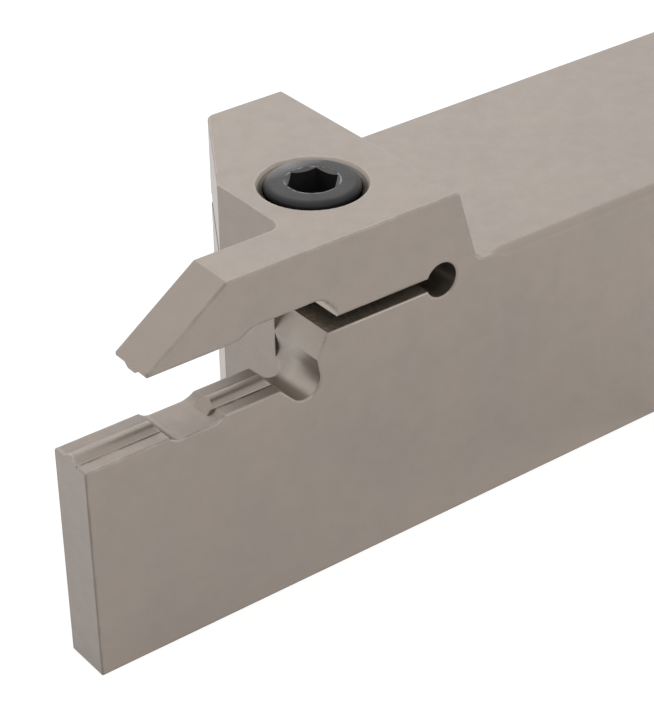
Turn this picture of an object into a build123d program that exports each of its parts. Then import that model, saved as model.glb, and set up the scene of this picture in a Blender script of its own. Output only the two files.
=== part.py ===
from build123d import *
import math
import os

# Grooving tool holder: a square steel shank whose head ends in a thin blade.
# The blade is split by a mouth that takes a double-ended insert.
# A saw slot runs back from the mouth to a round hole, so the jaw above it can flex.
# One cap screw crosses the slot and draws that jaw down on the insert.
#
# Everything is in millimetres.
# X runs from the blade back along the shank, Y from the blade's open side
# across the shank, and Z up.
# The origin is on the bottom face, at the middle of the whole length and width.

# Shank
overall_length = 150.0
shank_width = 25.0
shank_height = 25.0
shank_edge_radius = 0.8
shank_edge_cutter_radius = 3.0
shank_end_chamfer = 0.5

# Heights in the head: the cutting edge is level with the top of the shank
insert_height = 4.8
mouth_height = 6.3
jaw_thickness = 5.8

# Wing: the full-width part of the head, which starts behind the blade
wing_setback = 22.6
wing_length = 15.0
wing_flat_width = 9.1
wing_corner_run = 6.8
wing_corner_radius = 1.2
wing_root_radius = 1.2
ramp_run = 2.15
ramp_foot_radius = 1.2
ramp_top_radius = 0.4

# Blade and the fixed seat on it
blade_thickness = 4.6
blade_edge_radius = 0.2
seat_length = 18.8
rib_width = 1.9
rib_height = 0.5
rib_flank_angle = 42.0
rib_root_depth = 0.2
recess_setback = 7.9
recess_length = 5.4
recess_depth = 0.5
recess_front_radius = 1.5
recess_rear_radius = 2.5
rear_rib_lead = 1.0
rear_rib_slope_run = 0.9

# Upper jaw
nose_setback = 6.2
nose_flat = 0.28
jaw_front_angle = 35.3
jaw_land_length = 8.1
ceiling_rise = 0.8
ceiling_blend_run = 2.5
ceiling_end_radius = 2.4

# Stop that the insert backs against, and the round relief at its foot
pocket_side_margin = 0.2
relief_radius = 1.6
relief_drop = 0.2
stop_foot_setback = 1.3
stop_foot_rise = 1.5
stop_lean_angle = 27.5
slot_mouth_run = 1.0

# Saw slot and the hole that ends it
slot_width = 1.2
slot_drop = 2.0
slot_reach = 6.7
slot_hole_radius = 1.6

# Clamp screw
screw_setback = 6.5
screw_offset = 9.0
screw_diameter = 5.0
screw_length = 16.0
screw_tip_chamfer = 0.6
screw_head_diameter = 8.3
screw_head_height = 5.0
screw_head_rounding = 0.55
screw_head_proud = 0.3
socket_width = 4.0
socket_depth = 2.5
socket_turn = 45.5
socket_bevel = 0.15
socket_entry_angle = 150.0
drill_point_angle = 118.0

# Clearances round the clamp screw
counterbore_clearance = 0.1
counterbore_chamfer = 0.6
jaw_hole_clearance = 0.25
thread_clearance = 0.05
thread_reserve = 2.0

# Small break on the sharp edges of the machined outlines
edge_break = 0.12
sharpest_smooth_turn = 20.0

# How far a cutter runs past the face that it opens, and how closely a face is found
overrun = 1.0
finding_distance = 0.01

# Places that follow from the sizes: setbacks are measured from the blade's front
front_x = -overall_length / 2
near_y = -shank_width / 2
seat_height = shank_height - insert_height
mouth_top = seat_height + mouth_height
head_height = mouth_top + jaw_thickness
head_rear = wing_setback + wing_length
ramp_foot = head_rear + ramp_run
head_end = ramp_foot + ramp_foot_radius
recess_end = recess_setback + recess_length
slot_middle = mouth_top - slot_drop
slot_floor = slot_middle - slot_width / 2
slot_roof = slot_middle + slot_width / 2
screw_x = front_x + wing_setback + screw_setback
screw_y = near_y + screw_offset
counterbore_floor = head_height + screw_head_proud - screw_head_height
screw_tip = counterbore_floor - screw_length


def side_plane(depth):
    """Upright plane, seen from the blade's open side.

    Its x is the setback from the blade's front face and its y is the height.
    """
    origin = (front_x, near_y + depth, 0)
    return Plane(origin=origin, x_dir=(1, 0, 0), z_dir=(0, -1, 0))


def across(profile, start, end):
    """A side profile carried across the holder, from one depth to another."""
    return extrude(side_plane(start) * profile, amount=end - start, dir=(0, 1, 0))


def rounded(profile, corners):
    """Round a profile's corners, each given as a place and a radius."""
    for place, radius in corners:
        corner = profile.vertices().sort_by_distance(Vector(*place))[0]
        profile = fillet(corner, radius)
    return profile


def head_side():
    """Side profile of the blade and head, with the mouth and slot still solid."""
    nose_top = mouth_top + nose_flat
    slope_run = (head_height - nose_top) / math.tan(math.radians(jaw_front_angle))
    outline = Polyline(
        (0, 0),
        (head_end, 0),
        (head_end, shank_height),
        (ramp_foot, shank_height),
        (head_rear, head_height),
        (nose_setback + slope_run, head_height),
        (nose_setback, nose_top),
        (nose_setback, seat_height),
        (0, seat_height),
        close=True,
    )
    return rounded(
        make_face(outline),
        [
            ((ramp_foot, shank_height), ramp_foot_radius),
            ((head_rear, head_height), ramp_top_radius),
            ((0, seat_height), blade_edge_radius),
            ((0, 0), edge_break),
        ],
    )


def beside_blade():
    """Plan of what is milled away beside the blade, up to the wing's front."""
    wing_corner = blade_thickness + wing_flat_width
    corner_slope = wing_corner_run / (shank_width - wing_corner)
    outline = Polyline(
        (-overrun, blade_thickness),
        (wing_setback, blade_thickness),
        (wing_setback, wing_corner),
        (wing_setback + wing_corner_run + corner_slope * overrun, shank_width + overrun),
        (-overrun, shank_width + overrun),
        close=True,
    )
    root = (wing_setback, blade_thickness)
    return rounded(make_face(outline), [(root, wing_root_radius)])


def head_blank():
    """Blade and head before the mouth, slot and screw hole are cut."""
    blank = across(head_side(), 0, shank_width)
    beside = Pos(front_x, near_y, -overrun) * beside_blade()
    blank -= extrude(beside, amount=head_height + 2 * overrun, dir=(0, 0, 1))
    wing_side = Vector(front_x + wing_setback + wing_corner_run, shank_width / 2, 0)
    wing_corner = blank.edges().filter_by(Axis.Z).sort_by_distance(wing_side)[0]
    return fillet(wing_corner, wing_corner_radius)


def shank_bar():
    """Square bar behind the head."""
    length = overall_length - head_end
    near_corner = (front_x + head_end, near_y, 0)
    block = Box(length, shank_width, shank_height, align=(Align.MIN, Align.MIN, Align.MIN))
    return Pos(*near_corner) * block


def shank_edge_cut(side):
    """What a corner-rounding cutter takes off along one top edge of the shank.

    It starts behind the ramp's foot, where the cutter's round sweep runs out.
    """
    arc_foot = shank_height - shank_edge_radius
    cutter_top = shank_height + overrun
    reach = shank_edge_cutter_radius + shank_edge_radius
    arc = CenterArc((reach, arc_foot), shank_edge_radius, 180, -90)
    rest = Polyline(
        (reach, shank_height),
        (reach, cutter_top),
        (0, cutter_top),
        (0, arc_foot),
        (shank_edge_cutter_radius, arc_foot),
    )
    profile = make_face(Curve() + [arc, rest])
    sweep = math.sqrt(reach**2 - shank_edge_cutter_radius**2)
    start = (front_x + head_end + sweep, side * (shank_width / 2 + shank_edge_cutter_radius), 0)
    run_out = Pos(*start) * revolve(Plane.XZ * profile, Axis.Z)
    section = Plane(origin=start, x_dir=(0, -side, 0), z_dir=(-side, 0, 0)) * profile
    length = overall_length - head_end - sweep + overrun
    return run_out + extrude(section, amount=length, dir=(1, 0, 0))


def outline_edges(solid, axis, place):
    """Edges round the flat faces that lie at one place along an axis."""
    low = place - finding_distance
    high = place + finding_distance
    faces = solid.faces().filter_by(axis).filter_by_position(axis, low, high)
    return [edge for face in faces for edge in face.outer_wire().edges()]


def least_turn(solid, edge):
    """Smallest angle by which the surface turns along an edge."""
    near_start, middle, near_end = 0.01, 0.5, 0.99
    first, second = [face for face in solid.faces() if edge in face.edges()]
    return min(
        first.normal_at(edge @ share).get_angle(second.normal_at(edge @ share))
        for share in (near_start, middle, near_end)
    )


def break_outlines(solid):
    """Break the sharp edges round the sides, the head's top and the bottom."""
    outlines = [
        (Axis.Y, near_y),
        (Axis.Y, near_y + blade_thickness),
        (Axis.Y, near_y + shank_width),
        (Axis.Z, head_height),
        (Axis.Z, 0),
    ]
    sharp = []
    for axis, place in outlines:
        for edge in outline_edges(solid, axis, place):
            if edge not in sharp and least_turn(solid, edge) > sharpest_smooth_turn:
                sharp.append(edge)
    return fillet(sharp, edge_break)


def mouth_profile():
    """Side profile of the mouth between the seat and the jaw, with its relief."""
    relief_height = seat_height - relief_drop
    relief_setback = seat_length + relief_drop + relief_radius * math.sqrt(2)
    relief_centre = (relief_setback, relief_height)
    stop_foot = (relief_setback + stop_foot_setback, seat_height + stop_foot_rise)

    # The seat ends in a 45 degree slope that runs into the relief
    slope_end = -math.radians(135)
    slope_foot = (
        relief_setback + relief_radius * math.cos(slope_end),
        relief_height + relief_radius * math.sin(slope_end),
    )
    seat = Polyline((-overrun, seat_height), (seat_length, seat_height), slope_foot)

    # The relief turns up until it points at the foot of the stop
    foot_rise = stop_foot_rise + relief_drop
    foot_distance = math.hypot(stop_foot_setback, foot_rise)
    foot_angle = math.atan2(foot_rise, stop_foot_setback)
    relief_end = foot_angle - math.acos(relief_radius / foot_distance)
    relief = CenterArc(
        relief_centre,
        relief_radius,
        math.degrees(slope_end),
        math.degrees(relief_end - slope_end),
    )

    # The stop leans back from its foot up to the slot
    lean_run = (slot_floor - stop_foot[1]) * math.tan(math.radians(stop_lean_angle))
    stop_top = (stop_foot[0] + lean_run, slot_floor)
    slot_edge = (stop_top[0] + slot_mouth_run, slot_roof)
    stop = Polyline(relief @ 1, stop_foot, stop_top, slot_edge)

    # Above the slot a round corner leads to the ceiling
    ceiling_height = mouth_top + ceiling_rise
    corner_height = ceiling_height - ceiling_end_radius
    corner_start = math.asin((slot_roof - corner_height) / ceiling_end_radius)
    corner_setback = slot_edge[0] - ceiling_end_radius * math.cos(corner_start)
    corner = CenterArc(
        (corner_setback, corner_height),
        ceiling_end_radius,
        math.degrees(corner_start),
        90 - math.degrees(corner_start),
    )

    # Two equal arcs bring the ceiling down to the jaw's land
    land_end = nose_setback + jaw_land_length
    blend_top = (land_end + ceiling_blend_run, ceiling_height)
    blend_middle = (land_end + ceiling_blend_run / 2, mouth_top + ceiling_rise / 2)
    ceiling = Line(corner @ 1, blend_top)
    upper_blend = TangentArc(blend_top, blend_middle, tangent=(-1, 0))
    lower_blend = TangentArc(blend_middle, (land_end, mouth_top), tangent=upper_blend % 1)
    land = Polyline(
        (land_end, mouth_top),
        (-overrun, mouth_top),
        (-overrun, seat_height),
    )
    edges = [seat, relief, stop, corner, ceiling, upper_blend, lower_blend, land]
    return make_face(Curve() + edges)


def rib_section(foot_height, up, root_depth):
    """Blunt V across the blade: up on the seat, or down under the jaw."""
    half_width = rib_width / 2
    flank = math.radians(rib_flank_angle)
    point_height = half_width * math.tan(flank)
    crest_radius = (point_height - rib_height) / (1 / math.cos(flank) - 1)
    root = foot_height - up * root_depth
    point = foot_height + up * point_height
    middle = blade_thickness / 2
    outline = Polyline(
        (middle - half_width, root),
        (middle - half_width, foot_height),
        (middle, point),
        (middle + half_width, foot_height),
        (middle + half_width, root),
        close=True,
    )
    return rounded(make_face(outline), [((middle, point), crest_radius)])


def rib(foot_height, up, root_depth, start, end, front_slope, rear_slope):
    """A rib along the blade; each end's slope is given as its run and its height."""
    section_plane = Plane(
        origin=(front_x + start, near_y, 0), x_dir=(0, 1, 0), z_dir=(1, 0, 0)
    )
    section = section_plane * rib_section(foot_height, up, root_depth)
    bar = extrude(section, amount=end - start, dir=(1, 0, 0))
    front_run, front_height = front_slope
    rear_run, rear_height = rear_slope
    crest = foot_height + up * rib_height
    below = foot_height - up * overrun
    limits = Polyline(
        (start, below),
        (start, crest - up * front_height),
        (start + front_run, crest),
        (end - rear_run, crest),
        (end, crest - up * rear_height),
        (end, below),
        close=True,
    )
    return bar & across(make_face(limits), 0, blade_thickness)


def recess_profile():
    """Side profile of the shallow recess that parts the seat in two.

    Its floor turns up in a small round in front and in a larger one behind.
    """
    floor = seat_height - recess_depth
    cut_top = seat_height + recess_front_radius
    front_run = math.sqrt(recess_depth * (2 * recess_front_radius - recess_depth))
    rear_run = math.sqrt(recess_depth * (2 * recess_rear_radius - recess_depth))
    front_foot = recess_setback + front_run
    rear_foot = recess_end - rear_run
    front_wall = (front_foot - recess_front_radius, floor + recess_front_radius)
    front = TangentArc((front_foot, floor), front_wall, tangent=(-1, 0))
    rear = TangentArc((rear_foot, floor), (recess_end, seat_height), tangent=(1, 0))
    top = Polyline(
        front_wall,
        (front_wall[0], cut_top),
        (recess_end, cut_top),
        (recess_end, seat_height),
    )
    return make_face(Curve() + [front, Line((front_foot, floor), (rear_foot, floor)), rear, top])


def slot_profile():
    """Side profile of the saw slot and the round hole at its end."""
    end = wing_setback + screw_setback + slot_reach
    start = nose_setback
    slot = Pos((start + end) / 2, slot_middle) * Rectangle(end - start, slot_width)
    return slot + Pos(end, slot_middle) * Circle(slot_hole_radius)


def cone_point(radius, angle, top):
    """Cone that stands on its point, as a drill of that point angle leaves it."""
    depth = radius / math.tan(math.radians(angle / 2))
    return Pos(0, 0, top - depth / 2) * Cone(0, radius, depth)


def screw_hole():
    """Counterbore, clearance hole, threaded hole and its drill point, in one turning."""
    counterbore_radius = screw_head_diameter / 2 + counterbore_clearance
    jaw_hole_radius = screw_diameter / 2 + jaw_hole_clearance
    thread_radius = screw_diameter / 2 + thread_clearance
    thread_end = screw_tip - thread_reserve
    point_depth = thread_radius / math.tan(math.radians(drill_point_angle / 2))
    rim_radius = counterbore_radius + counterbore_chamfer
    outline = Polyline(
        (0, thread_end - point_depth),
        (thread_radius, thread_end),
        (thread_radius, slot_middle),
        (jaw_hole_radius, slot_middle),
        (jaw_hole_radius, counterbore_floor),
        (counterbore_radius, counterbore_floor),
        (counterbore_radius, head_height - counterbore_chamfer),
        (rim_radius, head_height),
        (rim_radius, head_height + overrun),
        (0, head_height + overrun),
        close=True,
    )
    return Pos(screw_x, screw_y, 0) * revolve(Plane.XZ * make_face(outline), Axis.Z)


def tool_body():
    """The holder itself, one piece of steel from the jaw's nose to the shank's end."""
    body = head_blank() + shank_bar()
    body -= shank_edge_cut(-1)
    body -= shank_edge_cut(1)
    rear_edges = body.faces().sort_by(Axis.X)[-1].edges()
    body = chamfer(rear_edges, shank_end_chamfer)

    pocket_depth = blade_thickness + wing_root_radius + pocket_side_margin
    recess = across(recess_profile(), -overrun, blade_thickness + overrun)
    body -= across(mouth_profile(), -overrun, pocket_depth)
    body -= across(slot_profile(), -overrun, shank_width + overrun)
    body -= recess
    body = break_outlines(body)

    recess_middle = (recess_setback + recess_end) / 2
    rear_rib_start = recess_end - rear_rib_lead
    land_end = nose_setback + jaw_land_length
    blunt = (blade_edge_radius, blade_edge_radius)
    sloping = (rib_height, rib_height)
    from_recess = (rear_rib_slope_run, recess_depth + rib_height)
    under_nose = (edge_break, edge_break)
    front_rib = rib(seat_height, 1, rib_root_depth, 0, recess_middle, blunt, sloping)
    body += front_rib - recess
    body += rib(seat_height, 1, recess_depth, rear_rib_start, seat_length, from_recess, sloping)
    body += rib(mouth_top, -1, rib_root_depth, nose_setback, land_end, under_nose, sloping)
    return body - screw_hole()


def clamp_screw():
    """Socket head cap screw, with its head on the counterbore's floor."""
    shank_radius = screw_diameter / 2
    head_radius = screw_head_diameter / 2
    head_top = counterbore_floor + screw_head_height
    outline = Polyline(
        (0, screw_tip),
        (shank_radius - screw_tip_chamfer, screw_tip),
        (shank_radius, screw_tip + screw_tip_chamfer),
        (shank_radius, counterbore_floor),
        (head_radius, counterbore_floor),
        (head_radius, head_top),
        (0, head_top),
        close=True,
    )
    turned = rounded(make_face(outline), [((head_radius, head_top), screw_head_rounding)])
    screw = revolve(Plane.XZ * turned, Axis.Z)

    # Hexagonal socket: a bevelled entry, flat walls and the point left by its drill
    hexagon = RegularPolygon(socket_width / 2, 6, major_radius=False)
    hexagon = Rot(0, 0, socket_turn) * hexagon
    screw -= extrude(Pos(0, 0, head_top) * hexagon, amount=socket_depth, dir=(0, 0, -1))
    entry_radius = socket_width / math.sqrt(3) + socket_bevel
    screw -= cone_point(entry_radius, socket_entry_angle, head_top)
    screw -= cone_point(socket_width / 2, drill_point_angle, head_top - socket_depth)
    return Pos(screw_x, screw_y, 0) * screw


os.makedirs("parts", exist_ok=True)
for name, piece in {"tool_body": tool_body(), "clamp_screw": clamp_screw()}.items():
    piece.label = name
    export_step(piece, "parts/" + name + ".step")
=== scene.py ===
import math

import bmesh
import bpy
from bpy.props import FloatProperty, FloatVectorProperty, IntProperty, PointerProperty
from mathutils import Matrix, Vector


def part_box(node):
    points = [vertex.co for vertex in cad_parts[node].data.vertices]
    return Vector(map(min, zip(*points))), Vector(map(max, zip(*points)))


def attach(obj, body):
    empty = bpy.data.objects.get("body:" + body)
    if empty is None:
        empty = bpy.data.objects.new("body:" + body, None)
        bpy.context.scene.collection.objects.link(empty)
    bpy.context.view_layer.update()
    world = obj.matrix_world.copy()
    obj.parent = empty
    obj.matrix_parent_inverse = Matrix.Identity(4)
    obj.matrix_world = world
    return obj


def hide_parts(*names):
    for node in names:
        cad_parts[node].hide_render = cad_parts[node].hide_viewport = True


# Dresses a grooving tool holder: the steel holder in satin nickel and its black cap screw.
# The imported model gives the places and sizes. X runs back along the shank, Y from the
# blade's open side across the shank, and Z up. Lengths are in metres.

bl_info = {
    "name": "Grooving tool holder",
    "version": (1, 0, 0),
    "blender": (4, 5, 0),
    "location": "3D View > Sidebar > Tool holder",
    "description": "Dresses a split-blade grooving tool holder and its clamp screw",
    "category": "Object",
}

mm = 0.001
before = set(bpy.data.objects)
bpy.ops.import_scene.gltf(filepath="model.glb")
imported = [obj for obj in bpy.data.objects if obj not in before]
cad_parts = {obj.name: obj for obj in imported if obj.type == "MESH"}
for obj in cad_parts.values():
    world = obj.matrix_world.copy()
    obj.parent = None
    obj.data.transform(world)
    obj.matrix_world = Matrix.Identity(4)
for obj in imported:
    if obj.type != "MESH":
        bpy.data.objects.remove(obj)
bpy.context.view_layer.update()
body_low, body_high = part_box("tool_body")
screw_low, screw_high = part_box("clamp_screw")


class HolderBodySettings(bpy.types.PropertyGroup):
    """Places on the steel holder whose finish differs from the rest."""

    slot_height: FloatProperty(
        name="Slot height",
        description="Height of the saw slot's middle over the bottom face",
        default=24.5 * mm,
        unit="LENGTH",
    )
    slot_width: FloatProperty(
        name="Slot width",
        description="Width of the saw slot",
        default=1.2 * mm,
        unit="LENGTH",
    )
    slot_end: FloatProperty(
        name="Slot end",
        description="How far behind the blade's front the saw slot runs into its hole",
        default=34.4 * mm,
        unit="LENGTH",
    )
    mouth_end: FloatProperty(
        name="Mouth end",
        description="How far behind the blade's front the mouth for the insert ends",
        default=27.2 * mm,
        unit="LENGTH",
    )
    mouth_floor: FloatProperty(
        name="Mouth floor",
        description="Height of the lowest point of the mouth's relief",
        default=18.2 * mm,
        unit="LENGTH",
    )
    mouth_roof: FloatProperty(
        name="Mouth roof",
        description="Height of the mouth's ceiling",
        default=27.5 * mm,
        unit="LENGTH",
    )
    blade_thickness: FloatProperty(
        name="Blade thickness",
        description="Thickness of the blade, whose middle carries the ribs",
        default=4.6 * mm,
        unit="LENGTH",
    )
    rib_width: FloatProperty(
        name="Rib width",
        description="Width of the ribs on the seat and under the jaw",
        default=1.9 * mm,
        unit="LENGTH",
    )
    seat_height: FloatProperty(
        name="Seat height",
        description="Height of the seat over the bottom face",
        default=20.2 * mm,
        unit="LENGTH",
    )
    recess_depth: FloatProperty(
        name="Recess depth",
        description="Depth of the shallow recess that parts the seat in two",
        default=0.5 * mm,
        unit="LENGTH",
    )
    seat_end: FloatProperty(
        name="Seat end",
        description="How far behind the blade's front the seat ends",
        default=18.8 * mm,
        unit="LENGTH",
    )


class HolderScrewSettings(bpy.types.PropertyGroup):
    """Sizes of the socket head cap screw."""

    head_height: FloatProperty(
        name="Head height",
        description="From the bearing face to the top of the head",
        default=5.0 * mm,
        unit="LENGTH",
    )
    head_rounding: FloatProperty(
        name="Head rounding",
        description="Radius round the top of the head",
        default=0.55 * mm,
        unit="LENGTH",
    )
    thread_diameter: FloatProperty(
        name="Thread diameter",
        description="Outer diameter of the thread",
        default=5.0 * mm,
        unit="LENGTH",
    )
    thread_pitch: FloatProperty(
        name="Thread pitch",
        description="Rise of the thread in one turn",
        default=0.8 * mm,
        unit="LENGTH",
    )
    thread_depth: FloatProperty(
        name="Thread depth",
        description="Depth of the thread's groove",
        default=0.49 * mm,
        unit="LENGTH",
    )
    tip_chamfer: FloatProperty(
        name="Tip chamfer",
        description="Chamfer round the screw's tip",
        default=0.6 * mm,
        unit="LENGTH",
    )
    knurl_ridges: IntProperty(
        name="Knurl ridges",
        description="Number of ridges round the head",
        default=48,
        min=3,
    )
    knurl_depth: FloatProperty(
        name="Knurl depth",
        description="Depth of the grooves between the ridges",
        default=0.09 * mm,
        unit="LENGTH",
    )
    socket_width: FloatProperty(
        name="Socket width",
        description="Width across the flats of the hexagon socket",
        default=4.0 * mm,
        unit="LENGTH",
    )
    socket_depth: FloatProperty(
        name="Socket depth",
        description="Depth of the socket's flat walls",
        default=2.5 * mm,
        unit="LENGTH",
    )
    socket_bevel: FloatProperty(
        name="Socket bevel",
        description="How far the bevelled entry reaches past the socket's corners",
        default=0.06 * mm,
        unit="LENGTH",
    )
    socket_slope: FloatProperty(
        name="Socket slope",
        description="Slope of the bevelled entry, down towards the socket",
        default=math.radians(30),
        subtype="ANGLE",
    )
    socket_turn: FloatProperty(
        name="Socket turn",
        description="Angle of the socket's first corner from the holder's length",
        default=math.radians(45.5),
        subtype="ANGLE",
    )


class HolderFinishSettings(bpy.types.PropertyGroup):
    """Colours and textures of the finishes, and of the painted light and shade."""

    nickel: FloatVectorProperty(
        name="Nickel",
        description="Colour of the satin plating",
        subtype="COLOR",
        default=(0.348, 0.298, 0.258),
        min=0.0,
        max=1.0,
    )
    nickel_shade: FloatVectorProperty(
        name="Nickel shade",
        description="Cooler tone that clouds the plating",
        subtype="COLOR",
        default=(0.334, 0.289, 0.254),
        min=0.0,
        max=1.0,
    )
    # Painted highlight: the light colour of rounded edges that face up, in patches, and of the saw
    # slot's lip.
    edge_highlight: FloatVectorProperty(
        name="Edge highlight",
        description="Colour of the plating where handling has burnished an edge",
        subtype="COLOR",
        default=(0.56, 0.52, 0.47),
        min=0.0,
        max=1.0,
    )
    # Painted shade: the dark colour of steep and upright edges, of the blade's front corners and of the
    # lines at the foot of the ribs.
    edge_shade: FloatVectorProperty(
        name="Edge shade",
        description="Colour of steep and upright edges and of the lines at the foot of the ribs",
        subtype="COLOR",
        default=(0.11, 0.09, 0.076),
        min=0.0,
        max=1.0,
    )
    # Painted light: a bright steel colour where the mouth's end and the recess's front slope lie in
    # shade.
    painted_light: FloatVectorProperty(
        name="Painted light",
        description="Colour of the bright steel, most of all at the round end of the mouth's ceiling",
        subtype="COLOR",
        default=(0.95, 0.88, 0.8),
        min=0.0,
        max=1.0,
    )
    sawn_steel: FloatVectorProperty(
        name="Sawn steel",
        description="Colour of the rough walls in the saw slot",
        subtype="COLOR",
        default=(0.3, 0.25, 0.205),
        min=0.0,
        max=1.0,
    )
    black_oxide: FloatVectorProperty(
        name="Black oxide",
        description="Colour of the clamp screw",
        subtype="COLOR",
        default=(0.035, 0.035, 0.037),
        min=0.0,
        max=1.0,
    )
    rubbed_oxide: FloatVectorProperty(
        name="Rubbed oxide",
        description="Colour of the clamp screw's flat top and socket",
        subtype="COLOR",
        default=(0.066, 0.062, 0.062),
        min=0.0,
        max=1.0,
    )
    # Partly wear and partly painted light: the socket's scuffed lip, painted light in the socket, and a
    # painted highlight on the far rim.
    bare_steel_and_highlight: FloatVectorProperty(
        name="Bare steel",
        description="Colour of the socket's lip and the screw's far rim, where the oxide is worn off",
        subtype="COLOR",
        default=(0.3, 0.29, 0.28),
        min=0.0,
        max=1.0,
    )
    # Painted shade: darker towards the foot of the blade's front.
    blade_shade: FloatProperty(
        name="Blade tone",
        description="How much darker the plating is at the foot of the blade's front",
        default=0.19,
        min=0.0,
        max=1.0,
    )
    # Painted shade on faces that look forwards.
    front_shade: FloatProperty(
        name="Front tone",
        description="How much darker the plating is on faces that look forwards",
        default=0.12,
        min=0.0,
        max=1.0,
    )
    sheen: FloatProperty(
        name="Sheen",
        description="Strength of the plating's clear gloss, seen on faces that turn away",
        default=0.25,
        min=0.0,
        max=1.0,
    )
    grain: FloatProperty(
        name="Grain",
        description="Size of the blasted grain under the plating",
        default=0.14 * mm,
        min=0.001 * mm,
        unit="LENGTH",
    )


class HolderStageSettings(bpy.types.PropertyGroup):
    """Floor, light and camera."""

    floor_colour: FloatVectorProperty(
        name="Floor colour",
        description="Colour of the floor that the holder stands on",
        subtype="COLOR",
        default=(0.45, 0.45, 0.45),
        min=0.0,
        max=1.0,
    )
    floor_glow: FloatProperty(
        name="Floor glow",
        description="White that the floor adds for the eye and in reflections",
        default=0.78,
        min=0.0,
    )
    sky_light: FloatProperty(
        name="Sky light",
        description="Strength of the light that comes from all round",
        default=0.75,
        min=0.0,
    )
    lamp_colour: FloatVectorProperty(
        name="Lamp colour",
        description="Colour of both lamps",
        subtype="COLOR",
        default=(0.955, 0.99, 1.045),
        min=0.0,
    )
    key_place: FloatVectorProperty(
        name="Key place",
        description="Where the main lamp stands, from the holder's head",
        default=(0.29, 0.53, 0.45),
        subtype="TRANSLATION",
        unit="LENGTH",
    )
    key_power: FloatProperty(
        name="Key lamp",
        description="Power of the main lamp, behind and above the holder",
        default=0.375,
        min=0.0,
        unit="POWER",
    )
    fill_place: FloatVectorProperty(
        name="Fill place",
        description="Where the second lamp stands, from the holder's head",
        default=(-0.3, 0.4, 0.75),
        subtype="TRANSLATION",
        unit="LENGTH",
    )
    fill_power: FloatProperty(
        name="Fill lamp",
        description="Power of the lamp above the blade",
        default=0.2,
        min=0.0,
        unit="POWER",
    )
    lamp_size: FloatProperty(
        name="Lamp size",
        description="Side of each square lamp",
        default=0.5,
        min=0.01,
        unit="LENGTH",
    )
    camera_place: FloatVectorProperty(
        name="Camera place",
        description="Where the camera stands",
        default=(-148.15 * mm, -143.1 * mm, 124.2 * mm),
        subtype="TRANSLATION",
        unit="LENGTH",
    )
    camera_turn: FloatVectorProperty(
        name="Camera turn",
        description="Turn of the camera about X, Y and Z",
        default=(math.radians(58.52), math.radians(0.54), math.radians(-37.90)),
        subtype="EULER",
    )
    focal_length: FloatProperty(
        name="Focal length",
        description="Focal length of the lens, in millimetres on a 36 mm sensor",
        default=119.2,
        min=1.0,
    )
    lens_shift: FloatVectorProperty(
        name="Lens shift",
        description="Shift of the lens to the right and up, as a share of the longer side",
        size=2,
        default=(-0.0508, -0.0385),
    )


class HolderSettings(bpy.types.PropertyGroup):
    """All settings of the tool holder."""

    body: PointerProperty(type=HolderBodySettings)
    screw: PointerProperty(type=HolderScrewSettings)
    finish: PointerProperty(type=HolderFinishSettings)
    stage: PointerProperty(type=HolderStageSettings)


# Node helpers


def add_node(tree, kind, inputs=None, **settings):
    """Add a node. Each input is a socket to link from, or a value to set."""
    node = tree.nodes.new(kind)
    for name, value in settings.items():
        setattr(node, name, value)
    for socket, value in (inputs or {}).items():
        if isinstance(value, bpy.types.NodeSocket):
            tree.links.new(value, node.inputs[socket])
        else:
            node.inputs[socket].default_value = value
    return node


def compute(tree, operation, *values):
    """Add a Math node and return its result."""
    return add_node(tree, "ShaderNodeMath", dict(enumerate(values)), operation=operation).outputs[0]


def multiply(tree, *values):
    """The product of two or more values."""
    product = values[0]
    for value in values[1:]:
        product = compute(tree, "MULTIPLY", product, value)
    return product


def blend_colours(tree, factor, first, second):
    """Mix two colours, each a socket or a plain colour, and return the result."""
    factor_input, first_input, second_input, result = 0, 6, 7, 2
    first, second = [
        colour if isinstance(colour, bpy.types.NodeSocket) else (*colour, 1)
        for colour in (first, second)
    ]
    inputs = {factor_input: factor, first_input: first, second_input: second}
    return add_node(tree, "ShaderNodeMix", inputs, data_type="RGBA").outputs[result]


def blend_values(tree, factor, first, second):
    """Mix two values and return the result."""
    factor_input, first_input, second_input = 0, 2, 3
    inputs = {factor_input: factor, first_input: first, second_input: second}
    return add_node(tree, "ShaderNodeMix", inputs).outputs[0]


def darken(tree, amount, colour):
    """Mix a colour with black."""
    return blend_colours(tree, amount, colour, (0, 0, 0))


def noise(tree, place, size, detail):
    """Noise whose features are about as large as size, as a value from 0 to 1."""
    inputs = {"Vector": place, "Scale": 1 / size, "Detail": detail}
    return add_node(tree, "ShaderNodeTexNoise", inputs).outputs[0]


def spread(tree, value, low, high, new_low, new_high):
    """Map a value from one range to another."""
    inputs = {"Value": value, "From Min": low, "From Max": high}
    inputs |= {"To Min": new_low, "To Max": new_high}
    return add_node(tree, "ShaderNodeMapRange", inputs).outputs[0]


def within(tree, value, low, high, blur):
    """1 where a value lies between two limits, and 0 outside them, with soft ends."""
    after = spread(tree, value, low - blur, low + blur, 0, 1)
    before = spread(tree, value, high - blur, high + blur, 1, 0)
    return multiply(tree, after, before)


def separate(tree, vector):
    """The three parts of a vector."""
    return add_node(tree, "ShaderNodeSeparateXYZ", {0: vector}).outputs


def from_screw_axis(tree, place):
    """How far a point lies from the screw's axis."""
    centre = (screw_low + screw_high) / 2
    level = add_node(
        tree, "ShaderNodeVectorMath", {0: place, 1: (1, 1, 0)}, operation="MULTIPLY"
    ).outputs[0]
    return add_node(
        tree, "ShaderNodeVectorMath", {0: level, 1: (centre.x, centre.y, 0)}, operation="DISTANCE"
    ).outputs["Value"]


def new_material(name):
    """A material with only its shader; returns it, its tree and the shader."""
    material = bpy.data.materials.new(name)
    material.use_nodes = True
    tree = material.node_tree
    return material, tree, tree.nodes["Principled BSDF"]


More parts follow.
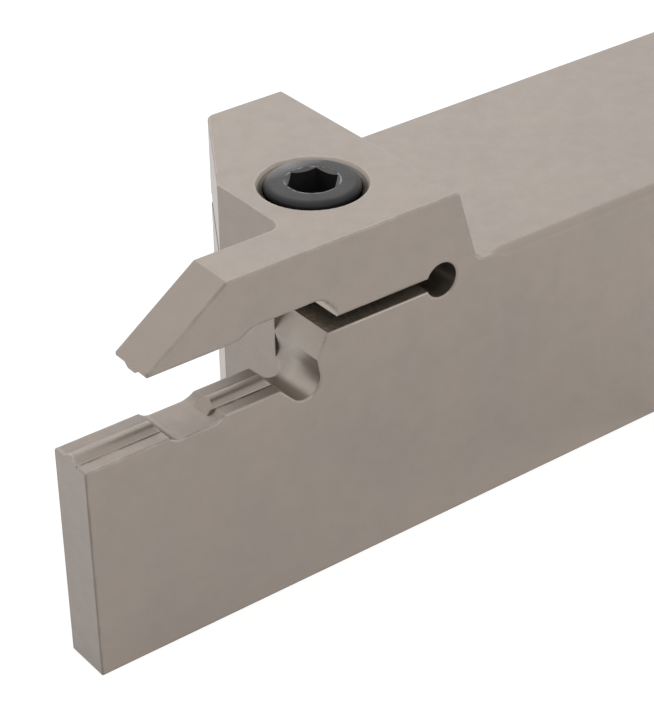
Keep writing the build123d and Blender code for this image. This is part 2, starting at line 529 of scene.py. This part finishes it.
def coordinates(tree):
    """Where a point lies on the piece, and which way the surface faces there."""
    outputs = add_node(tree, "ShaderNodeTexCoord").outputs
    return outputs["Object"], outputs["Normal"]


def add_relief(tree, shader, relief):
    """Shade the surface as if it rose and fell with a value."""
    inputs = {"Height": relief, "Strength": 0.3, "Distance": 0.01 * mm}
    bump = add_node(tree, "ShaderNodeBump", inputs).outputs["Normal"]
    tree.links.new(bump, shader.inputs["Normal"])


# Parts of the holder: each is a value of 1 there and 0 elsewhere


def in_slot(tree, place, facing, body):
    """The saw slot's two long walls."""
    margin, wall_blur, end_blur = 0.03 * mm, 0.01 * mm, 0.3 * mm
    half = body.slot_width / 2 + margin
    along, _, height = separate(tree, place)
    level = within(tree, height, body.slot_height - half, body.slot_height + half, wall_blur)
    slot_end = body_low.x + body.slot_end
    before_hole = spread(tree, along, slot_end - end_blur, slot_end + end_blur, 1, 0)
    upright = compute(tree, "ABSOLUTE", separate(tree, facing)[2])
    flat = spread(tree, upright, 0.7, 0.8, 0, 1)
    return multiply(tree, level, before_hole, flat)


def in_mouth(tree, place, facing, body):
    """The faces that were milled across the mouth."""
    blur = 0.2 * mm
    along, across, height = separate(tree, place)
    length = within(tree, along, body_low.x + 2 * blur, body_low.x + body.mouth_end, blur)
    level = within(tree, height, body.mouth_floor, body.mouth_roof, blur)
    blade_end = body_low.y + body.blade_thickness
    blade = spread(tree, across, blade_end + 0.05 * mm, blade_end + 0.1 * mm, 1, 0)
    sideways = compute(tree, "ABSOLUTE", separate(tree, facing)[1])
    return multiply(tree, length, level, spread(tree, sideways, 0.4, 0.7, 1, 0), blade)


def seat_band(tree, place, body, low, high, blur):
    """The length of the seat, between two heights."""
    along, _, height = separate(tree, place)
    seat_end = body_low.x + body.seat_end
    length = spread(tree, along, seat_end, seat_end + mm, 1, 0)
    return multiply(tree, length, within(tree, height, low, high, blur))


def on_seat(tree, place, body):
    """The seat itself."""
    level = 0.3 * mm
    low, high = body.seat_height - level, body.seat_height + level
    return seat_band(tree, place, body, low, high, level / 2)


def rib_feet(tree, place, body):
    """Thin lines of painted shade at the foot of the ribs along the seat, fainter on the far side."""
    half_line, far_line = 0.2 * mm, 0.4
    across = separate(tree, place)[1]
    from_middle = compute(tree, "SUBTRACT", across, body_low.y + body.blade_thickness / 2)
    from_foot = compute(tree, "SUBTRACT", compute(tree, "ABSOLUTE", from_middle), body.rib_width / 2)
    line = within(tree, from_foot, -half_line, half_line, half_line / 2)
    side = spread(tree, from_middle, 0, 0.1 * mm, 1, far_line)
    return multiply(tree, line, side, on_seat(tree, place, body))


def far_strip(tree, place, milled, body):
    """The strip of the seat beyond the ribs."""
    across = separate(tree, place)[1]
    foot = body_low.y + (body.blade_thickness + body.rib_width) / 2
    beyond = spread(tree, across, foot, foot + 0.2 * mm, 0, 1)
    return multiply(tree, beyond, on_seat(tree, place, body), milled)


def in_recess(tree, place, facing, body):
    """The floor of the recess in the seat, and the slope in front of it."""
    below, above, blur = 0.4 * mm, 0.2 * mm, 0.1 * mm
    across = separate(tree, place)[1]
    blade_end = body_low.y + body.blade_thickness
    blade = spread(tree, across, blade_end, blade_end + blur, 1, 0)
    low, high = body.seat_height - body.recess_depth - below, body.seat_height - above
    sunk = multiply(tree, seat_band(tree, place, body, low, high, blur), blade)
    backwards, _, upwards = separate(tree, facing)
    floor = multiply(tree, sunk, spread(tree, upwards, 0.75, 0.95, 0, 1))
    slope = multiply(tree, sunk, spread(tree, backwards, 0.1, 0.3, 0, 1))
    return floor, slope


def slot_lip(tree, place, facing, body):
    """The thin edge below the saw slot's open side."""
    width, blur = 0.15 * mm, 0.03 * mm
    along, _, height = separate(tree, place)
    edge = body.slot_height - body.slot_width / 2
    line = within(tree, height, edge - width, edge, blur)
    start, end = body_low.x + body.mouth_end - mm, body_low.x + body.slot_end
    length = within(tree, along, start, end, 0.2 * mm)
    near = spread(tree, separate(tree, facing)[1], -0.95, -0.85, 1, 0)
    return multiply(tree, line, length, near)


def blade_corners(tree, place, facing):
    """The rounded upright corners of the blade's front."""
    front_end = body_low.x + 6 * mm
    front = spread(tree, separate(tree, place)[0], front_end, front_end + mm, 1, 0)
    _, sideways, upwards = separate(tree, facing)
    turned = within(tree, compute(tree, "ABSOLUTE", sideways), 0.2, 0.96, 0.03)
    upright = spread(tree, compute(tree, "ABSOLUTE", upwards), 0.25, 0.35, 1, 0)
    return multiply(tree, front, turned, upright)


def turned_line(tree, place, facing):
    """A line turned in the chamfer of the screw's counterbore."""
    line_top, line_width, blur = body_high.z - 0.22 * mm, 0.14 * mm, 0.04 * mm
    head_radius = (screw_high.x - screw_low.x) / 2
    bore = within(tree, from_screw_axis(tree, place), head_radius, head_radius + mm, 0.05 * mm)
    sloped = spread(tree, compute(tree, "ABSOLUTE", separate(tree, facing)[2]), 0.8, 0.9, 1, 0)
    line = within(tree, separate(tree, place)[2], line_top - line_width, line_top, blur)
    return multiply(tree, bore, sloped, line)


# Finishes


def painted_light_amount(tree, place, milled, body):
    """How much painted light the steel gets at the mouth's end, where it lies in shade: 1 over the saw
    slot, and little below it.
    """
    floor_shine, slot_shine = 0.12, 0.04
    far_fade = 1.2 * mm
    along, across, height = separate(tree, place)
    seat_end = body_low.x + body.seat_end
    behind = spread(tree, along, seat_end, seat_end + 3 * mm, 0, 1)
    slot_roof = body.slot_height + body.slot_width / 2
    over_slot = spread(tree, height, slot_roof - 0.1 * mm, slot_roof, 0, 1)
    under_slot = spread(tree, height, body.mouth_floor, body.slot_height, floor_shine, slot_shine)
    blade_end = body_low.y + body.blade_thickness
    fade = spread(tree, across, blade_end - far_fade, blade_end, 1, 0)
    amount = compute(tree, "MAXIMUM", over_slot, multiply(tree, under_slot, fade))
    return multiply(tree, behind, milled, amount)


def plating_colour(tree, place, facing, milled, finish, body):
    """The plating's colour, clouded, with painted shade in front, on faces that look forwards, in the
    recess and on the seat's far strip, and painted light at the mouth's end.
    """
    tone_start, tone_end, tone_height = body_low.x + 10 * mm, body_low.x + 100 * mm, 26 * mm
    recess_shade, strip_shade, line_tone, slope_shine = 0.05, 0.15, 0.4, 0.25
    along, _, height = separate(tree, place)
    clouds = spread(tree, noise(tree, place, 7 * mm, 3), 0.35, 0.65, 0, 1)
    colour = blend_colours(tree, clouds, finish.nickel, finish.nickel_shade)

    # Painted shade: darker at the foot of the blade, on faces that look forwards, on the recess's floor
    # and on the seat's strip beyond the ribs
    front = spread(tree, along, tone_start, tone_end, finish.blade_shade, 0)
    foot = spread(tree, height, 0, tone_height, 1, 0)
    colour = darken(tree, multiply(tree, front, foot), colour)
    forwards = spread(tree, separate(tree, facing)[0], -0.95, -0.85, finish.front_shade, 0)
    colour = darken(tree, forwards, colour)
    floor, slope = in_recess(tree, place, facing, body)
    recess = multiply(tree, floor, recess_shade)
    strip = multiply(tree, far_strip(tree, place, milled, body), strip_shade)
    colour = darken(tree, compute(tree, "MAXIMUM", recess, strip), colour)

    # Painted light at the mouth's end and on the recess's front slope, and the line in the counterbore
    light_amount = painted_light_amount(tree, place, milled, body)
    light_amount = compute(tree, "MULTIPLY_ADD", slope, slope_shine, light_amount)
    colour = blend_colours(tree, light_amount, colour, finish.painted_light)
    return darken(tree, multiply(tree, turned_line(tree, place, facing), line_tone), colour)


def edge_nearness(tree, radius):
    """How near an edge is, from 0 to 1, and the direction that its rounded surface faces."""
    rounded = add_node(tree, "ShaderNodeBevel", {"Radius": radius}, samples=6).outputs[0]
    flat = add_node(tree, "ShaderNodeNewGeometry").outputs["Normal"]
    alike = add_node(
        tree, "ShaderNodeVectorMath", {0: rounded, 1: flat}, operation="DOT_PRODUCT"
    ).outputs["Value"]
    return spread(tree, alike, 0.95, 0.997, 0.7, 0), separate(tree, rounded)


def edge_light_and_shade(tree, place, facing, milled, colour, finish, body):
    """The colour with painted highlights on edges along level faces, and painted shade where they slope
    or stand.
    """
    radius, blur = 0.35 * mm, 0.1 * mm
    back_share, up_share = 0.2, -0.5
    jaw_front_spared, jaw_back_spared = 0.8, 0.2
    lip_highlight, corner_shade = 0.8, 0.6
    along, across, height = separate(tree, place)
    near_side, blade_end = body_low.y, body_low.y + body.blade_thickness

    # Edges inside the mouth get neither painted highlight nor shade, and the others get both in patches
    edge, (lean, _, up) = edge_nearness(tree, radius)
    inner = within(tree, across, near_side + radius, blade_end - radius, blur)
    outer = compute(tree, "SUBTRACT", 1, multiply(tree, milled, inner))
    rub = spread(tree, noise(tree, place, 1.5 * mm, 4), 0.4, 0.6, 0.2, 1)
    edge = multiply(tree, edge, outer, rub)

    # On the blade's open side, slopes that face forwards get painted shade on their edges and others
    # hardly do
    near = spread(tree, across, near_side + radius, near_side + radius + blur, 1, 0)
    forwards, backwards = multiply(tree, lean, -1), multiply(tree, lean, back_share)
    slant = compute(tree, "MAXIMUM", forwards, backwards)
    slant = compute(tree, "MULTIPLY_ADD", up, up_share, slant)
    far_level, far_steep = spread(tree, up, 0.5, 0.7, 0, 1), spread(tree, up, 0.1, 0.2, 1, 0)
    near_level = spread(tree, slant, -0.05, -0.02, 1, 0)
    near_steep = spread(tree, slant, 0.02, 0.05, 0, 1)
    level = blend_values(tree, near, far_level, near_level)
    steep = blend_values(tree, near, far_steep, near_steep)

    # The painted highlight on the jaw's top edge is fainter, most of all in front
    jaw_from, jaw_to = body_low.x + 14 * mm, body_low.x + 28 * mm
    jaw = spread(tree, height, body.mouth_roof, body.mouth_roof + mm, 0, 1)
    spared = spread(tree, along, jaw_from, jaw_to, jaw_front_spared, jaw_back_spared)
    worn = compute(tree, "SUBTRACT", 1, multiply(tree, jaw, spared))
    bright = multiply(tree, edge, level, worn)

    # Painted highlight on the slot's lip, and painted shade on the blade's front corners and at the
    # ribs' feet
    lip = multiply(tree, slot_lip(tree, place, facing, body), lip_highlight)
    colour = blend_colours(tree, compute(tree, "MAXIMUM", bright, lip), colour, finish.edge_highlight)
    corners = multiply(tree, blade_corners(tree, place, facing), corner_shade)
    shaded_edges = compute(tree, "MAXIMUM", multiply(tree, edge, steep), corners)
    colour = blend_colours(tree, shaded_edges, colour, finish.edge_shade)
    lines = multiply(tree, rib_feet(tree, place, body), milled, rub)
    return blend_colours(tree, lines, colour, finish.edge_shade)


def satin_nickel(finish, body):
    """Plated steel with a blasted grain, cutter marks in the mouth and a rough saw slot, with painted
    light and shade on its faces and edges.
    """
    material, tree, shader = new_material("satin_nickel")
    place, facing = coordinates(tree)
    sawn = in_slot(tree, place, facing, body)
    milled = in_mouth(tree, place, facing, body)
    plating = plating_colour(tree, place, facing, milled, finish, body)
    plating = edge_light_and_shade(tree, place, facing, milled, plating, finish, body)

    # The slot shows its raw steel
    pit_shade = 0.45
    specks = spread(tree, noise(tree, place, 0.35 * mm, 3), 0.4, 0.65, 0.55, 1)
    pits = [pit_shade * c for c in finish.sawn_steel]
    slot_colour = blend_colours(tree, specks, pits, finish.sawn_steel)
    tree.links.new(blend_colours(tree, sawn, plating, slot_colour), shader.inputs["Base Color"])

    # Gloss: satin all over, duller in the slot, under a thin clear sheen
    slot_dullness, sheen_roughness = 0.2, 0.2
    wear = spread(tree, noise(tree, place, 1.6 * mm, 3), 0.3, 0.7, -0.03, 0.03)
    grain = noise(tree, place, finish.grain, 2)
    satin = compute(tree, "ADD", spread(tree, grain, 0.3, 0.7, 0.42, 0.5), wear)
    rough = compute(tree, "MULTIPLY_ADD", sawn, slot_dullness, satin)
    tree.links.new(rough, shader.inputs["Roughness"])
    shader.inputs["Metallic"].default_value = 1.0
    shader.inputs["Coat Weight"].default_value = finish.sheen
    shader.inputs["Coat Roughness"].default_value = sheen_roughness

    # Relief: the grain everywhere, lines that run across the holder in the mouth, a rough slot
    mark_height, speck_height, stretch = 1.5, 6, 0.03
    along, across, height = separate(tree, place)
    stretched = {0: along, 1: multiply(tree, across, stretch), 2: height}
    stretched = add_node(tree, "ShaderNodeCombineXYZ", stretched).outputs[0]
    marks = multiply(tree, noise(tree, stretched, 0.2 * mm, 2), milled)
    relief = compute(tree, "MULTIPLY_ADD", marks, mark_height, grain)
    relief = compute(tree, "MULTIPLY_ADD", multiply(tree, specks, sawn), speck_height, relief)
    add_relief(tree, shader, relief)
    return material


def black_oxide(finish, screw):
    """Blackened steel, satin, rubbed on its flat top, with a scuffed socket lip that is partly a
    painted highlight, painted light in the socket and a painted highlight on the far rim.
    """
    material, tree, shader = new_material("black_oxide")
    place, facing = coordinates(tree)
    upwards = separate(tree, facing)[2]
    reach = from_screw_axis(tree, place)
    rim = screw.socket_width / math.sqrt(3) + screw.socket_bevel

    # The flat top and the socket are rubbed
    patches = spread(tree, noise(tree, place, 1.5 * mm, 4), 0.3, 0.65, 0.6, 1.1)
    flat_top = spread(tree, upwards, 0.6, 0.98, 0, 1)
    inside = spread(tree, reach, rim - 0.05 * mm, rim, 1, 0)
    rubbed = compute(tree, "MAXIMUM", multiply(tree, flat_top, patches), inside)
    oxide = blend_colours(tree, rubbed, finish.black_oxide, finish.rubbed_oxide)

    # Bare steel and painted light: the socket's scuffed lip, partly a painted highlight, painted light
    # in the socket, and a painted highlight on the far rim
    socket_light, rim_highlight = 0.15, 0.8
    scuffs = spread(tree, noise(tree, place, 0.6 * mm, 4), 0.42, 0.62, 0, 1)
    lip = within(tree, reach, rim - 0.04 * mm, rim + 0.08 * mm, 0.04 * mm)
    lip = multiply(tree, lip, scuffs)
    centre = (screw_low + screw_high) / 2
    highlight_from, highlight_to = centre.y + 2 * mm, centre.y + 4 * mm
    far_rim_highlight = spread(tree, separate(tree, place)[1], highlight_from, highlight_to, 0, rim_highlight)
    upward = spread(tree, upwards, 0.1, 0.4, 0, 1)
    outside = within(tree, reach, rim + 0.2 * mm, screw_high.x - centre.x + mm, 0.2 * mm)
    far_rim_highlight = multiply(tree, far_rim_highlight, upward, outside, patches)
    bare_and_light = compute(tree, "MAXIMUM", lip, multiply(tree, inside, socket_light))
    bare_and_light = compute(tree, "MAXIMUM", bare_and_light, far_rim_highlight)
    tree.links.new(blend_colours(tree, bare_and_light, oxide, finish.bare_steel_and_highlight), shader.inputs["Base Color"])

    # Gloss and relief
    grain = noise(tree, place, finish.grain, 2)
    tree.links.new(spread(tree, grain, 0.3, 0.7, 0.36, 0.46), shader.inputs["Roughness"])
    shader.inputs["Metallic"].default_value = 1.0
    add_relief(tree, shader, grain)
    return material


# Mesh helpers


def new_piece(name, mesh):
    """Put a mesh in the scene as a piece at the origin."""
    piece = bpy.data.objects.new(name, mesh)
    bpy.context.scene.collection.objects.link(piece)
    return piece


def bake_modifiers(piece):
    """Turn what the modifiers make into the piece's own plain mesh."""
    graph = bpy.context.evaluated_depsgraph_get()
    graph.update()
    mesh = bpy.data.meshes.new_from_object(piece.evaluated_get(graph))
    piece.modifiers.clear()
    piece.data = mesh
    mesh.name = piece.name


# The steel holder


class HOLDER_OT_body(bpy.types.Operator):
    """Give the steel holder its satin plating"""

    bl_idname = "holder.make_body"
    bl_label = "Finish holder"

    def execute(self, context):
        settings = context.scene.holder
        plating = satin_nickel(settings.finish, settings.body)
        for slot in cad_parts["tool_body"].material_slots:
            slot.material = plating
        return {"FINISHED"}


# The clamp screw


def ring(shape, columns, start, radius, height):
    """Add a ring of points; radius is a length or a function of the column's angle."""
    centre = (screw_low + screw_high) / 2
    points = []
    for column in range(columns):
        angle = start + 2 * math.pi * column / columns
        reach = radius(angle) if callable(radius) else radius
        place = (centre.x + reach * math.cos(angle), centre.y + reach * math.sin(angle), height)
        points.append(shape.verts.new(place))
    return points


def join_rings(shape, inner, outer):
    """Fill between two rings; each side of the first meets one or more of the second."""
    ratio = len(outer) // len(inner)
    for side in range(len(inner)):
        following = (side + 1) % len(inner)
        along = [outer[(side * ratio + k) % len(outer)] for k in range(ratio + 1)]
        shape.faces.new([inner[following], inner[side], *along])


def close_ring(shape, points, height):
    """Fill a ring with a fan round a point on the screw's axis."""
    centre = (screw_low + screw_high) / 2
    middle = shape.verts.new((centre.x, centre.y, height))
    for side in range(len(points)):
        shape.faces.new([points[side], points[(side + 1) % len(points)], middle])


def screw_blank(screw, columns):
    """The screw's head and the end of its tip, without the shank between them."""
    centre = (screw_low + screw_high) / 2
    top = screw_high.z
    bearing = top - screw.head_height
    head_radius = (screw_high.x - screw_low.x) / 2
    shank_radius = screw.thread_diameter / 2
    rounding = screw.head_rounding
    start = screw.socket_turn
    edge = 0.12 * mm
    knurl_run = 0.15 * mm
    drill_gap = 0.02 * mm
    drill_half_angle = math.radians(59)
    fine = columns * 4

    def hexagon(angle):
        """Distance from the axis to the socket's wall."""
        from_corner = (angle - start) % math.radians(60)
        return screw.socket_width / 2 / math.cos(from_corner - math.radians(30))

    entry_radius = screw.socket_width / math.sqrt(3) + screw.socket_bevel
    entry_slope = math.tan(screw.socket_slope)
    floor = top - screw.socket_depth
    point = floor - screw.socket_width / 2 / math.tan(drill_half_angle)

    shape = bmesh.new()
    knurled = shape.verts.layers.float.new("knurl")
    tip = ring(shape, columns, start, shank_radius - screw.tip_chamfer, screw_low.z)
    close_ring(shape, list(reversed(tip)), screw_low.z)
    neck = ring(shape, columns, start, shank_radius, bearing)
    outline = [
        (head_radius - edge, bearing, 0),
        (head_radius, bearing + edge, 0),
        (head_radius, bearing + edge + knurl_run, 1),
        (head_radius, top - rounding - 2 * knurl_run, 1),
        (head_radius, top - rounding - knurl_run, 0),
    ]
    steps = 6
    for step in range(steps + 1):
        turn = math.radians(90) * step / steps
        reach = head_radius - rounding + rounding * math.cos(turn)
        outline.append((reach, top - rounding + rounding * math.sin(turn), 0))
    outline.append((entry_radius, top, 0))
    previous = neck
    for reach, height, depth in outline:
        points = ring(shape, fine, start, reach, height)
        for vertex in points:
            vertex[knurled] = depth
        join_rings(shape, previous, points)
        previous = points
    lip = ring(shape, fine, start, hexagon, top)
    for vertex in lip:
        reach = (vertex.co.xy - centre.xy).length
        vertex.co.z = top - (entry_radius - reach) * entry_slope
    join_rings(shape, previous, lip)
    foot = ring(shape, fine, start, hexagon, floor)
    join_rings(shape, lip, foot)
    drill = ring(shape, fine, start, screw.socket_width / 2 - drill_gap, floor)
    join_rings(shape, foot, drill)
    close_ring(shape, drill, point)
    mesh = bpy.data.meshes.new("cap_screw")
    shape.to_mesh(mesh)
    shape.free()
    return mesh


def add_tree_inputs(tree, kind, *names):
    """Add named inputs of one kind to a node tree."""
    for name in names:
        tree.interface.new_socket(name=name, in_out="INPUT", socket_type=kind)


def thread_tree():
    """Geometry Nodes that knurl the screw's head and run a thread down its shank."""
    tree = bpy.data.node_groups.new("Knurl and thread", "GeometryNodeTree")
    add_tree_inputs(tree, "NodeSocketGeometry", "Geometry")
    add_tree_inputs(tree, "NodeSocketFloat", "Axis X", "Axis Y", "Start Angle", "Ridges", "Knurl Depth")
    add_tree_inputs(tree, "NodeSocketFloat", "Radius", "Pitch", "Thread Depth", "Tip Radius")
    add_tree_inputs(tree, "NodeSocketFloat", "Tip Height", "Bearing Height", "Run-out")
    add_tree_inputs(tree, "NodeSocketInt", "Columns", "Rows")
    add_tree_inputs(tree, "NodeSocketMaterial", "Material")
    tree.interface.new_socket(name="Geometry", in_out="OUTPUT", socket_type="NodeSocketGeometry")
    given = tree.nodes.new("NodeGroupInput").outputs

    # Knurl: the head's side goes in and out with the angle
    here = add_node(tree, "GeometryNodeInputPosition").outputs[0]
    here_x, here_y, _ = separate(tree, here)
    across = compute(tree, "SUBTRACT", here_x, given["Axis X"])
    along = compute(tree, "SUBTRACT", here_y, given["Axis Y"])
    angle = compute(tree, "SUBTRACT", compute(tree, "ARCTAN2", along, across), given["Start Angle"])
    ridge = multiply(tree, angle, compute(tree, "DIVIDE", given["Ridges"], math.tau))
    groove = compute(tree, "PINGPONG", ridge, 0.5)
    marked = add_node(
        tree, "GeometryNodeInputNamedAttribute", {"Name": "knurl"}, data_type="FLOAT"
    ).outputs["Attribute"]
    depth = multiply(tree, groove, 2, marked, given["Knurl Depth"])
    squares = compute(tree, "ADD", multiply(tree, across, across), multiply(tree, along, along))
    never_zero = 1e-6
    reach = compute(tree, "MAXIMUM", compute(tree, "SQRT", squares), never_zero)
    inward = multiply(tree, compute(tree, "DIVIDE", depth, reach), -1)
    shift = {0: multiply(tree, across, inward), 1: multiply(tree, along, inward)}
    shift = add_node(tree, "ShaderNodeCombineXYZ", shift).outputs[0]
    knurled = add_node(
        tree, "GeometryNodeSetPosition", {"Geometry": given["Geometry"], "Offset": shift}
    ).outputs[0]

    # Thread: a grid wound round the axis, whose rows climb by one pitch a turn
    grid = add_node(
        tree,
        "GeometryNodeMeshGrid",
        {
            "Size X": 1.0,
            "Size Y": 1.0,
            "Vertices X": compute(tree, "ADD", given["Columns"], 1),
            "Vertices Y": compute(tree, "ADD", given["Rows"], 1),
        },
    ).outputs["Mesh"]
    turn = compute(tree, "ADD", here_x, 0.5)
    tip, bearing, run_out = given["Tip Height"], given["Bearing Height"], given["Run-out"]
    length = compute(tree, "SUBTRACT", bearing, tip)
    turns = compute(tree, "ADD", compute(tree, "DIVIDE", length, given["Pitch"]), 1)
    climb = multiply(tree, compute(tree, "ADD", here_y, 0.5), turns)
    rise = compute(tree, "SUBTRACT", compute(tree, "ADD", climb, turn), 1)
    free = compute(tree, "MULTIPLY_ADD", rise, given["Pitch"], tip)
    height = compute(tree, "MINIMUM", compute(tree, "MAXIMUM", free, tip), bearing)
    crest_half, flank = 1 / 16, 5 / 16
    from_crest = compute(tree, "SUBTRACT", compute(tree, "FRACT", climb), 0.5)
    from_crest = compute(tree, "ABSOLUTE", from_crest)
    cut = spread(tree, from_crest, crest_half, crest_half + flank, 0, 1)
    plain = compute(tree, "SUBTRACT", bearing, run_out)
    fade = spread(tree, height, compute(tree, "SUBTRACT", plain, run_out), plain, 1, 0)
    cut = multiply(tree, cut, fade, given["Thread Depth"])
    lead = compute(tree, "ADD", given["Tip Radius"], compute(tree, "SUBTRACT", height, tip))
    radius = compute(tree, "MINIMUM", compute(tree, "SUBTRACT", given["Radius"], cut), lead)
    around = compute(tree, "MULTIPLY_ADD", turn, math.tau, given["Start Angle"])
    place = add_node(
        tree,
        "ShaderNodeCombineXYZ",
        {
            0: compute(tree, "MULTIPLY_ADD", radius, compute(tree, "COSINE", around), given["Axis X"]),
            1: compute(tree, "MULTIPLY_ADD", radius, compute(tree, "SINE", around), given["Axis Y"]),
            2: height,
        },
    ).outputs[0]
    threaded = add_node(
        tree, "GeometryNodeSetPosition", {"Geometry": grid, "Position": place}
    ).outputs[0]

    # Join the two where they touch
    touching = 0.001 * mm
    joined = add_node(tree, "GeometryNodeJoinGeometry")
    tree.links.new(knurled, joined.inputs[0])
    tree.links.new(threaded, joined.inputs[0])
    merged = add_node(
        tree, "GeometryNodeMergeByDistance", {"Geometry": joined.outputs[0], "Distance": touching}
    ).outputs[0]
    real = add_node(tree, "GeometryNodeRealizeInstances", {"Geometry": merged}).outputs[0]
    painted = add_node(
        tree, "GeometryNodeSetMaterial", {"Geometry": real, "Material": given["Material"]}
    ).outputs[0]
    tree.links.new(painted, tree.nodes.new("NodeGroupOutput").inputs[0])
    return tree


def set_inputs(modifier, values):
    """Set a node modifier's inputs by their names."""
    for item in modifier.node_group.interface.items_tree:
        if item.in_out == "INPUT" and item.name in values:
            modifier[item.identifier] = values[item.name]


class HOLDER_OT_screw(bpy.types.Operator):
    """Make the socket head cap screw with its knurled head and thread"""

    bl_idname = "holder.make_screw"
    bl_label = "Make clamp screw"

    def execute(self, context):
        settings = context.scene.holder
        screw = settings.screw
        columns, rows_per_turn = 72, 16
        sharpest_smooth = math.radians(25)
        bearing = screw_high.z - screw.head_height
        turns = (bearing - screw_low.z) / screw.thread_pitch + 1
        centre = (screw_low + screw_high) / 2
        piece = new_piece("cap_screw", screw_blank(screw, columns))
        cutter = piece.modifiers.new("Knurl and thread", "NODES")
        cutter.node_group = thread_tree()
        set_inputs(
            cutter,
            {
                "Axis X": centre.x,
                "Axis Y": centre.y,
                "Start Angle": screw.socket_turn,
                "Ridges": float(screw.knurl_ridges),
                "Knurl Depth": screw.knurl_depth,
                "Radius": screw.thread_diameter / 2,
                "Pitch": screw.thread_pitch,
                "Thread Depth": screw.thread_depth,
                "Tip Radius": screw.thread_diameter / 2 - screw.tip_chamfer,
                "Tip Height": screw_low.z,
                "Bearing Height": bearing,
                "Run-out": screw.thread_pitch / 2,
                "Columns": columns,
                "Rows": round(turns * rows_per_turn),
                "Material": black_oxide(settings.finish, screw),
            },
        )
        bake_modifiers(piece)
        piece.data.shade_smooth()
        piece.data.set_sharp_from_angle(angle=sharpest_smooth)
        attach(piece, "screw")
        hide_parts("clamp_screw")
        return {"FINISHED"}


# Stage


def seen_directly(tree):
    """1 for rays of the eye, of reflections and through glass, and 0 for all others."""
    rays = add_node(tree, "ShaderNodeLightPath").outputs
    seen = compute(tree, "MAXIMUM", rays["Is Camera Ray"], rays["Is Glossy Ray"])
    return compute(tree, "MAXIMUM", seen, rays["Is Transmission Ray"])


def make_floor(stage):
    """A large pale floor that looks white and keeps the holder's shadow."""
    half = 4.0
    mesh = bpy.data.meshes.new("floor")
    corners = [(-half, -half, 0), (half, -half, 0), (half, half, 0), (-half, half, 0)]
    mesh.from_pydata(corners, [], [(0, 1, 2, 3)])
    material, tree, shader = new_material("pale_floor")
    shader.inputs["Base Color"].default_value = (*stage.floor_colour, 1)
    shader.inputs["Roughness"].default_value = 0.9
    shader.inputs["Specular IOR Level"].default_value = 0.0
    shader.inputs["Emission Color"].default_value = (1, 1, 1, 1)
    glow = compute(tree, "MULTIPLY", seen_directly(tree), stage.floor_glow)
    tree.links.new(glow, shader.inputs["Emission Strength"])
    mesh.materials.append(material)
    floor = new_piece("floor", mesh)


def make_sky(stage):
    """White behind everything, and an even light from all round."""
    world = bpy.data.worlds.new("studio")
    world.use_nodes = True
    tree = world.node_tree
    tree.nodes.clear()
    light = add_node(tree, "ShaderNodeBackground", {"Color": (1, 1, 1, 1), "Strength": stage.sky_light})
    white = add_node(tree, "ShaderNodeBackground", {"Color": (1, 1, 1, 1), "Strength": 1.0})
    mix = add_node(
        tree, "ShaderNodeMixShader", {0: seen_directly(tree), 1: light.outputs[0], 2: white.outputs[0]}
    )
    add_node(tree, "ShaderNodeOutputWorld", {"Surface": mix.outputs[0]})
    bpy.context.scene.world = world


def add_lamp(name, place, aim, size, power, colour):
    """A square soft lamp that points at a place."""
    lamp = bpy.data.lights.new(name, "AREA")
    lamp.size = size
    lamp.energy = power
    lamp.color = colour
    holder = bpy.data.objects.new(name, lamp)
    holder.location = place
    holder.rotation_mode = "QUATERNION"
    holder.rotation_quaternion = (aim - place).to_track_quat("-Z", "Y")
    bpy.context.scene.collection.objects.link(holder)


def add_camera(stage):
    """The camera at the photograph's viewing angle."""
    data = bpy.data.cameras.new("camera")
    data.lens = stage.focal_length
    data.sensor_width = 36
    data.shift_x, data.shift_y = stage.lens_shift
    data.clip_start = 10 * mm
    data.clip_end = 20.0
    camera = bpy.data.objects.new("camera", data)
    camera.location = stage.camera_place
    camera.rotation_euler = stage.camera_turn
    bpy.context.scene.collection.objects.link(camera)
    bpy.context.scene.camera = camera


class HOLDER_OT_stage(bpy.types.Operator):
    """Make the floor, the light and the camera"""

    bl_idname = "holder.make_stage"
    bl_label = "Make stage"

    def execute(self, context):
        stage = context.scene.holder.stage
        head_middle = 35 * mm
        make_floor(stage)
        make_sky(stage)
        head = Vector((body_low.x + head_middle, 0, body_high.z / 2))
        lamps = (
            ("key_lamp", stage.key_place, stage.key_power),
            ("fill_lamp", stage.fill_place, stage.fill_power),
        )
        for name, offset, power in lamps:
            add_lamp(name, head + offset, head, stage.lamp_size, power, stage.lamp_colour)
        add_camera(stage)
        context.scene.view_settings.view_transform = "Standard"
        return {"FINISHED"}


class HOLDER_PT_panel(bpy.types.Panel):
    """Lists what makes the tool holder"""

    bl_label = "Tool holder"
    bl_idname = "HOLDER_PT_panel"
    bl_space_type = "VIEW_3D"
    bl_region_type = "UI"
    bl_category = "Tool holder"

    def draw(self, context):
        settings = context.scene.holder
        groups = (
            (settings.body, "holder.make_body"),
            (settings.screw, "holder.make_screw"),
            (settings.finish, None),
            (settings.stage, "holder.make_stage"),
        )
        for group, operator in groups:
            box = self.layout.box()
            for name in group.bl_rna.properties.keys():
                if name not in ("rna_type", "name"):
                    box.prop(group, name)
            if operator:
                box.operator(operator)


classes = (
    HolderBodySettings,
    HolderScrewSettings,
    HolderFinishSettings,
    HolderStageSettings,
    HolderSettings,
    HOLDER_OT_body,
    HOLDER_OT_screw,
    HOLDER_OT_stage,
    HOLDER_PT_panel,
)


def register():
    for cls in classes:
        bpy.utils.register_class(cls)
    bpy.types.Scene.holder = PointerProperty(type=HolderSettings)


def unregister():
    del bpy.types.Scene.holder
    for cls in reversed(classes):
        bpy.utils.unregister_class(cls)


def main():
    register()
    bpy.ops.holder.make_body()
    bpy.ops.holder.make_screw()
    bpy.ops.holder.make_stage()


if __name__ == "__main__":
    main()
